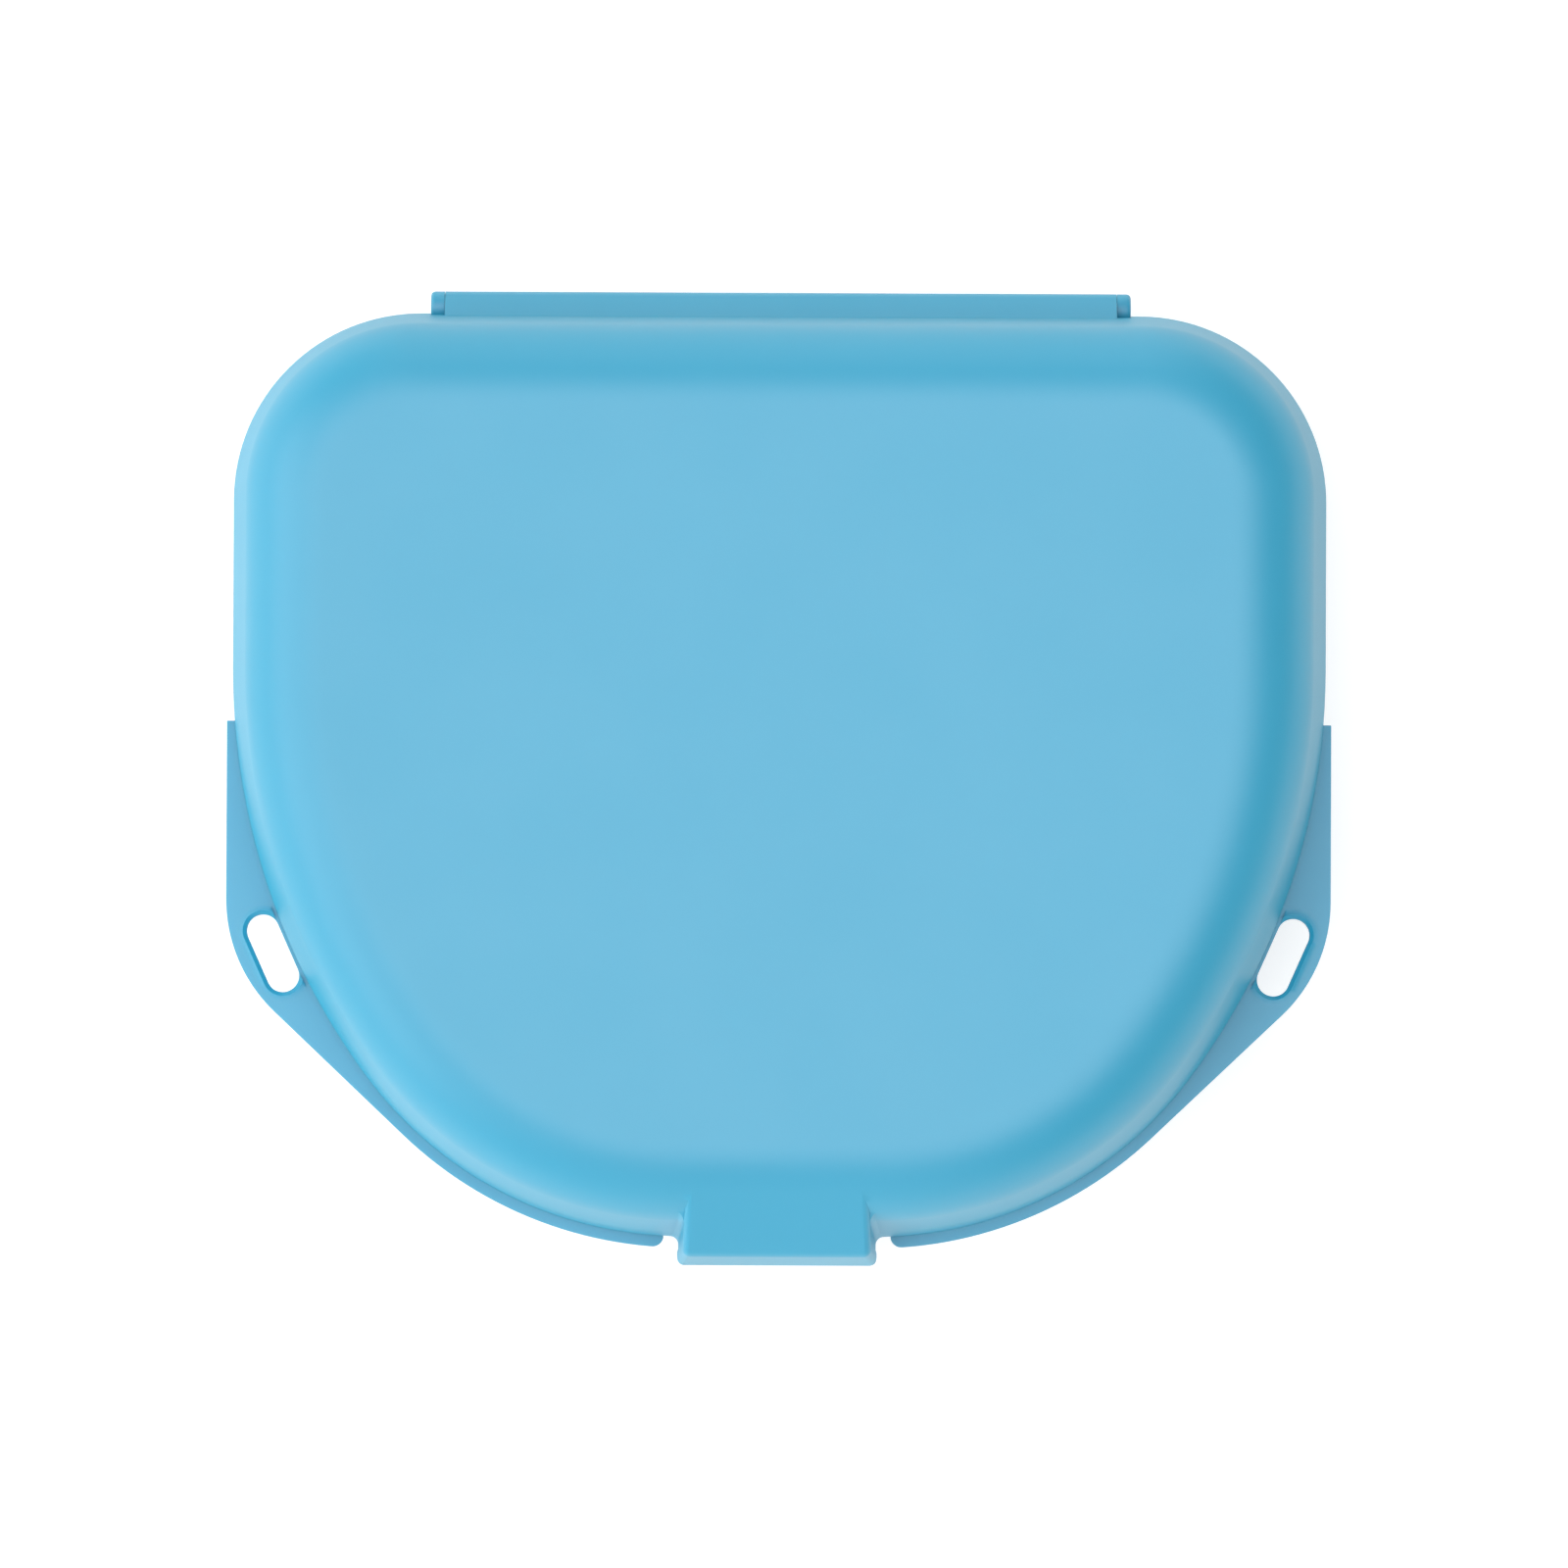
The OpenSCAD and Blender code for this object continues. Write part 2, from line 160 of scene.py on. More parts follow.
print("drawing helpers ready")

# %% [markdown]
# ## The section of the wall
# The real case is injection moulded: an even wall with draft, a big soft radius into the flat
# top, and rims that are slightly rounded where the mould closes. A Solidify modifier on one
# skin would be quicker, but it leaves square rims, so both faces of the wall are drawn. The
# section is drawn in two numbers, the distance outward from the outline and the height above
# the rim.

# %% Points of the wall section
lid_rim_r = 0.2 * MM
base_rim_r = 0.35 * MM
flat_in = 10.0 * MM
flat_guard = 0.3 * MM
draft_deg = math.degrees(draft)


def rim_centre(inset, radius):
    """Centre of a rim rounding that lies this far inside the wall's outer face."""
    return Vector(((radius * -math.sin(draft) - inset) / math.cos(draft), radius))


def wall_section(height, rim_r):
    """From the flat outside, down the wall, round the rim and back up the inside."""
    centre_u = -(height - edge_r) * math.tan(draft) - edge_r / math.cos(draft)
    edge_c = Vector((centre_u, height - edge_r))
    outer_c = rim_centre(rim_r, rim_r)
    inner_c = rim_centre(wall_t - rim_r, rim_r)
    inner_h = height - wall_t
    return [
        Vector((-flat_in, height)),
        Vector((centre_u - flat_guard, height)),
        *arc(edge_c, edge_r, 90, draft_deg, steps=30),
        *arc(outer_c, rim_r, draft_deg, -90, steps=6),
        *arc(inner_c, rim_r, -90, draft_deg - 180, steps=6),
        *arc(edge_c, edge_r - wall_t, draft_deg, 90, steps=16),
        Vector((centre_u - flat_guard, inner_h)),
        Vector((-flat_in, inner_h)),
    ]


lid_section = wall_section(half_h, lid_rim_r)
base_section = wall_section(half_h, base_rim_r)
print("wall sections of", len(lid_section), "points")

# %% [markdown]
# ## Sweeping the section
# The section starts in the middle of the front, slides along the nose, spins round each arc and
# ends in the middle of the back. A Mirror modifier adds the other half. The two open edges are
# the flat outside and the flat inside, and each is filled with one flat face.

# %% Helpers that sweep, mirror and fill
merge_within = 0.002 * MM


def sweep_front():
    """Carries the selection along the nose, the front corner and the long side curve."""
    slide(Vector((nose_half, 0, 0)), steps=2)
    spin(corner_c, hand_over, steps=30)
    spin(side_c, math.pi / 2 - hand_over, steps=22)


def sweep_back():
    """Carries the selection along the straight side, the back corner and the back."""
    slide(Vector((0, back_c.y - side_c.y, 0)), steps=4)
    spin(back_c, math.pi / 2, steps=32)
    slide(Vector((-back_c.x, 0, 0)), steps=6)


def pick(piece):
    """Makes this piece the only one selected, and the active one."""
    bpy.ops.object.select_all(action="DESELECT")
    piece.select_set(True)
    bpy.context.view_layer.objects.active = piece


def apply_modifier(piece, kind, **settings):
    """Adds a modifier with these settings and applies it at once."""
    pick(piece)
    bpy.ops.object.modifier_add(type=kind)
    modifier = piece.modifiers[-1]
    for key, value in settings.items():
        setattr(modifier, key, value)
    bpy.ops.object.modifier_apply(modifier=modifier.name)


def fill_open(piece):
    """Fills each open edge loop with one face, and turns all faces outwards."""
    while True:
        bpy.ops.mesh.select_mode(type="EDGE")
        bpy.ops.mesh.select_all(action="DESELECT")
        drawing = bmesh.from_edit_mesh(piece.data)
        open_edges = [edge for edge in drawing.edges if edge.is_boundary]
        if not open_edges:
            break
        open_edges[0].select_set(True)
        bmesh.update_edit_mesh(piece.data)
        bpy.ops.mesh.loop_multi_select(ring=False)
        bpy.ops.mesh.edge_face_add()
    bpy.ops.mesh.select_all(action="SELECT")
    bpy.ops.mesh.normals_make_consistent(inside=False)


def mirror_and_fill(piece):
    """Mirrors a half sweep and closes it."""
    bpy.ops.object.mode_set(mode="OBJECT")
    apply_modifier(piece, "MIRROR", merge_threshold=merge_within)
    bpy.ops.object.mode_set(mode="EDIT")
    bpy.ops.mesh.select_all(action="SELECT")
    bpy.ops.mesh.remove_doubles(threshold=merge_within)
    fill_open(piece)
    bpy.ops.object.mode_set(mode="OBJECT")


print("sweeping helpers ready")

# %% [markdown]
# The two halves differ only in their rim: the lid's is crisper, as the photo shows, and the
# base is the same section turned upside down.

# %% Two bare shells
def at_nose(points, rim, up=1, x=0):
    """Places section points at the front of the case, with the rim at this height."""
    return [Vector((x, front_y - p.x, rim + up * p.y)) for p in points]


def sweep_shell(name, section, rim, up):
    """One half of the case as a bare shell."""
    piece = draw(name, at_nose(section, rim, up))
    sweep_front()
    sweep_back()
    mirror_and_fill(piece)
    print(name, "shell of", len(piece.data.polygons), "faces")
    return piece


lid = sweep_shell("lid_moulding", lid_section, lid_rim, 1)
base = sweep_shell("base_moulding", base_section, base_rim, -1)

# %% [markdown]
# ## Prisms and booleans
# Tab, flange, ears, barrel and lugs are straight extrusions of a closed drawing. On the real
# mould they are pockets milled beside the cavity. So each one is drawn, filled, extruded and
# rounded by itself, and a Boolean modifier melts it into its moulding.

# %% Helpers for prisms, rods and booleans
def draw_closed(name, points):
    """Draws a line back to its own start, and selects it."""
    piece = draw(name, [*points, points[0]])
    bpy.ops.mesh.remove_doubles(threshold=merge_within)
    bpy.ops.mesh.select_all(action="SELECT")
    return piece


def prism(name, points, vector):
    """A closed drawing filled and extruded along a vector."""
    piece = draw_closed(name, points)
    bpy.ops.mesh.edge_face_add()
    slide(vector)
    bpy.ops.mesh.select_all(action="SELECT")
    bpy.ops.mesh.normals_make_consistent(inside=False)
    bpy.ops.object.mode_set(mode="OBJECT")
    return piece


def rod(name, radius, length, place, sides=64):
    """A cylinder that lies along X."""
    bpy.ops.object.select_all(action="DESELECT")
    bpy.ops.mesh.primitive_cylinder_add(
        vertices=sides, radius=radius, depth=length, location=place, rotation=(0, math.pi / 2, 0))
    piece = bpy.context.object
    piece.name = piece.data.name = name
    bpy.ops.object.transform_apply(location=True, rotation=True, scale=True)
    return piece


def round_edges(piece, width, segments, wanted):
    """Bevels each edge for which wanted(end, end, turn) is true; an outer edge turns over 0."""
    pick(piece)
    bpy.ops.object.mode_set(mode="EDIT")
    bpy.ops.mesh.select_mode(type="EDGE")
    bpy.ops.mesh.select_all(action="DESELECT")
    drawing = bmesh.from_edit_mesh(piece.data)
    chosen = 0
    for edge in drawing.edges:
        turn = math.degrees(edge.calc_face_angle_signed(0))
        if wanted(edge.verts[0].co, edge.verts[1].co, turn):
            edge.select_set(True)
            chosen += 1
    bmesh.update_edit_mesh(piece.data)
    if chosen:
        bpy.ops.mesh.bevel(offset=width, segments=segments, affect="EDGES", clamp_overlap=True)
    bpy.ops.object.mode_set(mode="OBJECT")
    return chosen


def combine(piece, tool, operation):
    """Joins a tool mesh to a piece or cuts it out, and deletes the tool."""
    apply_modifier(piece, "BOOLEAN", operation=operation, solver="EXACT", object=tool)
    bpy.data.objects.remove(tool)


def add_left_copy(piece):
    """Mirrors a finished right-hand piece, as a second body in the same mesh."""
    apply_modifier(piece, "MIRROR", use_mirror_merge=False)


print("prism helpers ready")

# %% [markdown]
# ## The latch tab
# The tab is a hollow hood on the front of the lid. Its upper face is a plane that leaves the
# lid's rounded edge along the tangent, so it reads as one smooth run from the top. Its front
# leans in towards the top, as the mould needs, and shows from above as a narrow paler band. It
# is drawn from the side. Its root reaches to the middle of the wall, and no face of it lies in
# one plane with a face of the lid, because a Boolean can't tell two such faces apart.

# %% Side section of the tab
ramp_tilt = math.radians(39)
tab_draft = math.radians(3)
tab_out = 2.1 * MM
tab_drop = 3.9 * MM
tab_t = 1.4 * MM
hidden_in = wall_t / 2
sink = 0.05 * MM

ramp_normal = Vector((math.sin(ramp_tilt), math.cos(ramp_tilt)))
ramp_deg = 90 - math.degrees(ramp_tilt)
fillet_c = Vector((lid_section[1].x + flat_guard, half_h - edge_r))
ramp_touch = fillet_c + edge_r * ramp_normal
front_normal = Vector((math.cos(tab_draft), math.sin(tab_draft)))
tab_foot = Vector((tab_out, -tab_drop))
tab_lean = math.tan(tab_draft)


def ramp_height(u, below):
    """Height above the rim of a plane that lies this far below the tab's upper face."""
    return ramp_touch.y - (below + ramp_normal.x * (u - ramp_touch.x)) / ramp_normal.y


front_reach = front_normal.dot(tab_foot)
ramp_reach = ramp_normal.dot(ramp_touch)
tab_brow = Vector((
    front_reach * ramp_normal.y - ramp_reach * front_normal.y,
    ramp_reach * front_normal.x - front_reach * ramp_normal.x,
)) / math.cos(ramp_tilt + tab_draft)
tab_inner = tab_out - tab_t
wall_mid = -hidden_in / math.cos(draft)
tab_section = [
    ramp_touch,
    tab_brow,
    tab_foot,
    Vector((tab_inner, -tab_drop)),
    Vector((tab_inner, sink)),
    Vector((wall_mid, sink)),
    *arc(fillet_c, edge_r - hidden_in, draft_deg, ramp_deg, steps=3),
]
print("tab section of", len(tab_section), "points, brow", round(tab_brow.y / MM, 2), "mm up")

# %% [markdown]
# The section is extruded wider than the tab and then cut to width by a second drawing, made from
# the front. Its sides stand straight at the foot and lean in from just below the rim. Where a
# cutter has to pass right through, it reaches a little past what it cuts.

# %% Leaning sides of the tab
tab_half = 7.3 * MM
lean_from = 1.0 * MM
reach = 1.0 * MM


def between_sides(name, inset):
    """A block between the tab's sides, drawn in by an inset."""
    low_half = tab_half - inset
    high_half = low_half - (lean_from + half_h) * tab_lean
    low_z = lid_rim - tab_drop - reach
    high_z = lid_rim + half_h
    right = [(low_half, low_z), (low_half, lid_rim - lean_from), (high_half, high_z)]
    left = [(-x, z) for x, z in reversed(right)]
    y = front_y - tab_out - reach
    inwards = Vector((0, tab_out + reach - fillet_c.x, 0))
    return prism(name, [Vector((x, y, z)) for x, z in right + left], inwards)


def across(name, points, half):
    """A drawing at the nose, extruded to both sides."""
    return prism(name, at_nose(points, lid_rim, 1, -half), Vector((2 * half, 0, 0)))


tab = across("tab_block", tab_section, tab_half + reach)
combine(tab, between_sides("tab_sides", 0), "INTERSECT")
print("tab block of", len(tab.data.polygons), "faces")

# %% [markdown]
# A moulding has no knife edges, so one bevel rounds the tab's brow, foot, corners and sides,
# while all its edges are still long and straight. Edges that end up inside the lid's wall are
# left alone. The pocket is cut afterwards.

# %% Round the tab and hollow it
tab_soft = 0.5 * MM
sharp_deg = 40


def on_tab_outside(a, b, turn):
    """Outer edges that end at the tab's sides and reach outside the outline."""
    outermost = max(front_y - a.y, front_y - b.y)
    beside = min(abs(a.x), abs(b.x)) > tab_half - tab_t
    return turn > sharp_deg and beside and outermost > 0


print("tab edges rounded", round_edges(tab, tab_soft, segments=6, wanted=on_tab_outside))

roof_h = ramp_height(tab_inner, tab_t) / (1 - math.tan(ramp_tilt) * tab_lean)
pocket_section = [
    Vector((fillet_c.x, -reach)),
    Vector((tab_inner, -reach)),
    Vector((tab_inner, 0)),
    Vector((tab_inner - roof_h * tab_lean, roof_h)),
    Vector((fillet_c.x, ramp_height(fillet_c.x, tab_t))),
]
pocket = across("tab_pocket", pocket_section, tab_half)
combine(pocket, between_sides("pocket_sides", tab_t), "INTERSECT")
combine(tab, pocket, "DIFFERENCE")
print("tab of", len(tab.data.polygons), "faces")

# %% [markdown]
# Where the tab's sides meet the lid there is a small fillet, as a round cutter leaves it in the
# mould. A bevel along that seam would have to follow the lid's rounded edge and often breaks, so
# the fillet is a piece of its own. Its hollow section is drawn beside the tab, slid up the wall,
# spun round the lid's edge, and cut off at the rim and under the tab's rounded upper edge.

# %% Root fillets of the tab
root_r = 0.6 * MM
root_dip = 0.03 * MM

lean_over = Matrix.Rotation(-tab_draft, 3, "Y")
lean_back = Matrix.Rotation(-draft, 3, "X")
root_corner = Vector((tab_half - lean_from * tab_lean, front_y, lid_rim))
root_section = [
    Vector((-hidden_in, -hidden_in)),
    Vector((root_r, -hidden_in)),
    *arc(Vector((root_r, root_r)), root_r + root_dip, 270, 180, steps=10),
    Vector((-hidden_in, root_r)),
]
along_wall = lean_over @ lean_back
root_points = [root_corner + along_wall @ Vector((p.x, -p.y, -reach)) for p in root_section]
wall_l = (fillet_c.y + edge_r * math.sin(draft)) / math.cos(draft)
edge_axis = lean_over @ Vector((1, 0, 0))
edge_middle = root_corner + lean_over @ Vector((0, -fillet_c.x, fillet_c.y))

roots = draw_closed("root_fillets", root_points)
slide(along_wall @ Vector((0, 0, reach + wall_l)), steps=2)
spin(edge_middle, draft + ramp_tilt - math.pi / 2, steps=12, axis=edge_axis)
fill_open(roots)
bpy.ops.object.mode_set(mode="OBJECT")

root_low = 2 * sink
root_room = [
    Vector((fillet_c.x, root_low)),
    Vector((tab_out, root_low)),
    Vector((tab_out, ramp_height(tab_out, tab_soft))),
    Vector((fillet_c.x, ramp_height(fillet_c.x, tab_soft))),
]
combine(roots, across("root_room", root_room, tab_half + reach), "INTERSECT")
add_left_copy(roots)
print("root fillets of", len(roots.data.polygons), "faces")

# %% [markdown]
# ## The snap nub
# Behind the tab a small nub hooks under a bead on the base, and that bite keeps the case shut.
# Both are half rounds. The nub's place follows from the bead's: far enough in to bite, and just
# low enough to leave a gap when the case is shut.

# %% Nub under the tab
bead_r = 0.6 * MM
nub_l = 8.0 * MM
bead_drop = 1.3 * MM
snap_bite = 0.3 * MM
snap_gap = 0.1 * MM
nub_end = 0.3 * MM

bead_u = -bead_drop * math.tan(draft)
nub_step = 2 * bead_r - snap_bite
nub_fall = math.sqrt((2 * bead_r + snap_gap) ** 2 - nub_step ** 2)
nub_c = Vector((bead_u + nub_step, -bead_drop - nub_fall))
nub_root = tab_out - tab_t / 2
nub_section = [
    Vector((nub_root, nub_c.y + bead_r)),
    *arc(nub_c, bead_r, 90, 270, steps=16),
    Vector((nub_root, nub_c.y - bead_r)),
]
nub = prism("nub", at_nose(nub_section, base_rim, 1, -nub_l / 2), Vector((nub_l, 0, 0)))


def at_nub_end(a, b, turn):
    """Edges round the two ends of the nub."""
    return turn > sharp_deg and min(abs(a.x), abs(b.x)) > nub_l / 2 - merge_within


print("nub edges rounded", round_edges(nub, nub_end, segments=3, wanted=at_nub_end))

# %% [markdown]
# ## The hinge, lid side
# At the back a barrel nearly as long as the hinge hangs on a leaning web. In the photo it reads
# as a plain strip. Lid and base share one drawing of a knuckle, a ring on a web, which is why
# they turn about one axis. Hollows in the lid's wall leave room for the base's two lugs, and a
# blind bore in each end of the barrel takes a pin.

# %% Helpers for the hinge
hinge_l = 51.2 * MM
barrel_r = 1.2 * MM
lug_w = 1.0 * MM
lug_gap = 0.03 * MM
web_deg = 45

lug_x = (hinge_l - lug_w) / 2
lug_inner = hinge_l - 2 * lug_w
barrel_l = lug_inner - 2 * lug_gap


def knuckle(name, start_x, length, up):
    """A round knuckle on a web that leans up or down into the wall."""
    ring = arc(Vector((0, 0)), barrel_r, web_deg, -180, steps=26)
    web_top = ring[0].y + ring[0].x - ring[-1].x
    points = [Vector((ring[-1].x, web_top)), *ring]
    placed = [Vector((start_x, hinge.y + p.x, hinge.z + up * p.y)) for p in points]
    return prism(name, placed, Vector((length, 0, 0)))


def soften_end(piece, x, width):
    """Rounds the edges of the end face that lies at this x."""
    def at_end(a, b, turn):
        return turn > sharp_deg and max(abs(a.x - x), abs(b.x - x)) < merge_within

    return round_edges(piece, width, segments=3, wanted=at_end)


print("barrel", round(barrel_l / MM, 2), "mm long between the lugs")

# %% [markdown]
# The order of the joins matters. The tab, its fillets and the nub come first and the hollows
# are cut next, so that the barrel, which stands beside them, is left whole. The bores come
# last, because a join after them would fill them again.

# %% Join the lid
hinge_relief = 0.35 * MM
pin_r = 0.6 * MM
pin_fit = 0.04 * MM
bore_depth = 5.2 * MM
mating_soft = 0.02 * MM

for moulded_on in (tab, roots, nub):
    combine(lid, moulded_on, "UNION")
for side in (-1, 1):
    place = hinge + Vector((side * lug_x, 0, 0))
    hollow = rod("lug_hollow", barrel_r + hinge_relief, lug_w + 2 * lug_gap, place)
    combine(lid, hollow, "DIFFERENCE")
barrel = knuckle("barrel", -barrel_l / 2, barrel_l, 1)
for side in (-1, 1):
    soften_end(barrel, side * barrel_l / 2, mating_soft)
combine(lid, barrel, "UNION")
for side in (-1, 1):
    place = hinge + Vector((side * (barrel_l - bore_depth + reach) / 2, 0, 0))
    combine(lid, rod("pin_bore", pin_r + pin_fit, bore_depth + reach, place), "DIFFERENCE")
print("lid of", len(lid.data.polygons), "faces")

# %% [markdown]
# ## Flange and ears of the base
# A narrow flange runs round the front of the base, just under the lid's rim, and stops short of
# the latch. At each side it grows into an ear with a slot for a cord. Its outer edge is drawn
# with a round end, an arc beside the outline, a straight lean along the tangent, a big round
# corner and a straight side; its inner edge stays hidden in the wall.

# %% Outline of flange and ear
flange_out = 0.8 * MM
notch_half = 8.3 * MM
ear_out = 0.4 * MM
ear_back = 37.6 * MM
ear_r = 11.4 * MM
ear_lean = math.radians(43.5)

band_r = corner_r + flange_out
end_turn = math.asin((notch_half + flange_out - nose_half) / corner_r)
end_c = corner_c + corner_r * outward(end_turn)
ear_x = half_w + ear_out
ear_y = front_y + ear_back
ear_touch = corner_c + band_r * outward(ear_lean)
ear_fall = math.sin(ear_lean) * (ear_x - ear_r - ear_touch.x) + ear_r
ear_c = Vector((ear_x - ear_r, ear_touch.y + ear_fall / math.cos(ear_lean), 0))


def heading_arc(centre, radius, first, last, steps):
    """Points beside an arc of the outline, by heading."""
    turn = (last - first) / steps
    return [centre + radius * outward(first + turn * i) for i in range(steps + 1)]


inner_r = side_r - hidden_in
ear_heading = math.acos((side_c.y - ear_y) / inner_r)
flange_outline = [
    *heading_arc(end_c, flange_out, end_turn - math.pi / 2, end_turn, steps=8),
    *heading_arc(corner_c, band_r, end_turn, ear_lean, steps=24)[1:],
    *heading_arc(ear_c, ear_r, ear_lean, math.pi / 2, steps=20),
    Vector((ear_x, ear_y, 0)),
    *heading_arc(side_c, inner_r, ear_heading, hand_over, steps=16),
    *heading_arc(corner_c, corner_r - hidden_in, hand_over, end_turn, steps=24)[1:],
]
print("flange outline of", len(flange_outline), "points")

# %% [markdown]
# The outline is extruded to the flange's thickness, and the edges that stand clear of the wall
# are rounded, as the mould's are. The upper face lies a hair below the base's rim, so that the
# Boolean meets no shared plane.

# %% Raise the flange, round it and mirror it
flange_t = 1.6 * MM
flange_low = 0.06 * MM
flange_soft = 0.25 * MM

flange_z = base_rim - flange_t
flange_foot = [Vector((p.x, p.y, flange_z)) for p in flange_outline]
flange = prism("flange", flange_foot, Vector((0, 0, flange_t - flange_low)))


def outside_by(p):
    """How far a point of the front half lies outside the outline."""
    from_corner = Vector((abs(p.x), p.y, 0)) - corner_c
    if math.atan2(from_corner.x, -from_corner.y) < hand_over:
        return from_corner.length - corner_r
    return (Vector((abs(p.x), p.y, 0)) - side_c).length - side_r


def on_flange_edge(a, b, turn):
    """Sharp edges of the flange that reach clear of the wall."""
    return turn > sharp_deg and max(outside_by(a), outside_by(b)) > flange_soft


rounded = round_edges(flange, flange_soft, segments=3, wanted=on_flange_edge)
print("flange edges rounded", rounded)
add_left_copy(flange)
combine(base, flange, "UNION")

# %% [markdown]
# ## Cord slots and collars
# Each ear has a slot with round ends, set along the side of the case. A thin raised collar runs
# round it like a rolled rim. Collar and slot are half profiles, drawn as a distance from the
# slot's middle line and a height, and carried once round that line. A lathe's way of working
# suits them, because the profile then stays the same along the straight sides and the round ends.

# %% A profile carried round the slot
slot_l = 6.0 * MM
slot_w = 2.4 * MM
slot_land = 0.2 * MM
slot_heading = math.radians(66)

slot_out = outward(slot_heading)
slot_c = side_c + (side_r + slot_land + slot_w / 2) * slot_out
slot_half = (slot_l - slot_w) / 2 * outward(slot_heading + math.pi / 2)
slot_ends = (slot_c - slot_half, slot_c + slot_half)


def round_slot(name, profile):
    """Carries a half profile once round the right slot and closes it."""
    first, last = slot_ends
    piece = draw(name, [first + p.x * slot_out + Vector((0, 0, p.y)) for p in profile])
    for here, there in ((first, last), (last, first)):
        slide(there - here)
        spin(there, math.pi, steps=24)
    bpy.ops.mesh.select_all(action="SELECT")
    bpy.ops.mesh.remove_doubles(threshold=merge_within)
    bpy.ops.mesh.normals_make_consistent(inside=False)
    bpy.ops.object.mode_set(mode="OBJECT")
    return piece


print("slot centre", slot_c / MM)

# %% [markdown]
# The collar slopes up from the ear, and its slope starts a hair below the ear's surface. It is
# cut back by a big round block where the lid's rim comes down beside it. This is done on the
# right ear alone, before the mirror, because that block also covers the whole left ear.

# %% Collars
collar_w = 0.8 * MM
collar_h = 0.3 * MM
collar_gap = 0.25 * MM
collar_slope = 0.5 * MM
room_sides = 720

collar_r = slot_w / 2 + collar_w
collar_root = collar_r + sink * collar_slope / (collar_h + flange_low)
collar_foot = base_rim - flange_t / 2
collar_top = base_rim + collar_h
collar = round_slot("collars", [
    Vector((0, collar_foot)),
    Vector((collar_root, collar_foot)),
    Vector((collar_root, base_rim - flange_low - sink)),
    Vector((collar_r - collar_slope, collar_top)),
    Vector((0, collar_top)),
])
bpy.ops.object.select_all(action="DESELECT")
bpy.ops.mesh.primitive_cylinder_add(
    vertices=room_sides, radius=side_r + collar_gap, depth=2 * reach,
    location=(side_c.x, side_c.y, base_rim + reach))
lid_room = bpy.context.object
bpy.ops.object.transform_apply(location=True, rotation=True, scale=True)
combine(collar, lid_room, "DIFFERENCE")
add_left_copy(collar)
combine(base, collar, "UNION")
print("base with collars of", len(base.data.polygons), "faces")

# %% [markdown]
# The slot's own profile opens out at the top, so the cut leaves a chamfer that keeps a cord from
# chafing. From above it shows as the dark line round each slot.

# %% Slots
flare_w = 0.28 * MM
flare_tilt = math.radians(50)

flare_foot = Vector((slot_w / 2, collar_top - flare_w * math.tan(flare_tilt)))
flare_top = flare_foot + (flare_w + sink) * Vector((1, math.tan(flare_tilt)))
slots = round_slot("slots", [
    Vector((0, flange_z - reach)),
    Vector((slot_w / 2, flange_z - reach)),
    flare_foot,
    flare_top,
    Vector((flare_top.x, collar_top + reach)),
    Vector((0, collar_top + reach)),
])
add_left_copy(slots)
combine(base, slots, "DIFFERENCE")
print("base with slots of", len(base.data.polygons), "faces")

# %% [markdown]
# ## The locating lip
# Inside the front of the base a thin lip stands up behind the lid's rim and keeps the two halves
# in line. It is a closed section carried along the same nose and arcs as the wall, so the gap to
# the lid stays even.

# %% Lip of the base
lip_h = 1.4 * MM
lip_t = 0.9 * MM
lip_gap = 0.2 * MM
lip_root = 2.4 * MM
lip_soft = 0.25 * MM
lip_sink = 0.2 * MM

lip_out = wall_t / math.cos(draft) + lip_gap
lip_in = lip_out + lip_t
lean_u = lip_h * math.tan(draft)
lip_section = [
    Vector((-hidden_in, -lip_sink)),
    Vector((-lip_out, -lip_sink)),
    *arc(Vector((-lip_out - lean_u - lip_soft, lip_h - lip_soft)), lip_soft, 0, 90, steps=4),
    *arc(Vector((-lip_in + lip_soft, lip_h - lip_soft)), lip_soft, 90, 180, steps=4),
    Vector((-lip_in, lip_in - hidden_in - lip_root)),
    Vector((-hidden_in, -lip_root)),
]
lip = draw_closed("lip", at_nose(lip_section, base_rim))
sweep_front()
mirror_and_fill(lip)
combine(base, lip, "UNION")
print("base with lip of", len(base.data.polygons), "faces")

# %% [markdown]
# ## Bead and lugs of the base
# The bead on the nose is what the nub snaps under. At the back two lugs carry the pins, and a
# long hollow in the wall between them clears the lid's barrel. One drill hole through both lugs
# keeps the two pins in line.

# %% Bead, hollow, lugs and pin holes
bead_l = 9.0 * MM
bead_end = 0.35 * MM
lug_soft = 0.3 * MM

bead_place = Vector((0, front_y - bead_u, base_rim - bead_drop))
bead = rod("bead", bead_r, bead_l, bead_place, sides=48)
round_edges(bead, bead_end, segments=4, wanted=lambda a, b, turn: turn > sharp_deg)
combine(base, bead, "UNION")

combine(base, rod("barrel_hollow", barrel_r + hinge_relief, lug_inner, hinge), "DIFFERENCE")
for side in (-1, 1):
    lug = knuckle("lug", side * lug_x - lug_w / 2, lug_w, -1)
    soften_end(lug, side * hinge_l / 2, lug_soft)
    combine(base, lug, "UNION")
combine(base, rod("pin_hole", pin_r, hinge_l + 2 * sink, hinge), "DIFFERENCE")
print("base of", len(base.data.polygons), "faces")

# %% [markdown]
# ## Smooth shading
# The curved strips should read as one surface and the real edges should stay crisp. Shading by
# angle splits the two. The limit lies between the collar's slope, which turns by 35.8 degrees
# and should read as a soft swelling, and the seam of the hinge's web, which turns by 37 degrees
# and is a real edge. Weighted Normal keeps the big flat faces flat right up to the start of
# their rounded edges.

# %% Finish the two mouldings
smooth_deg = 36.4


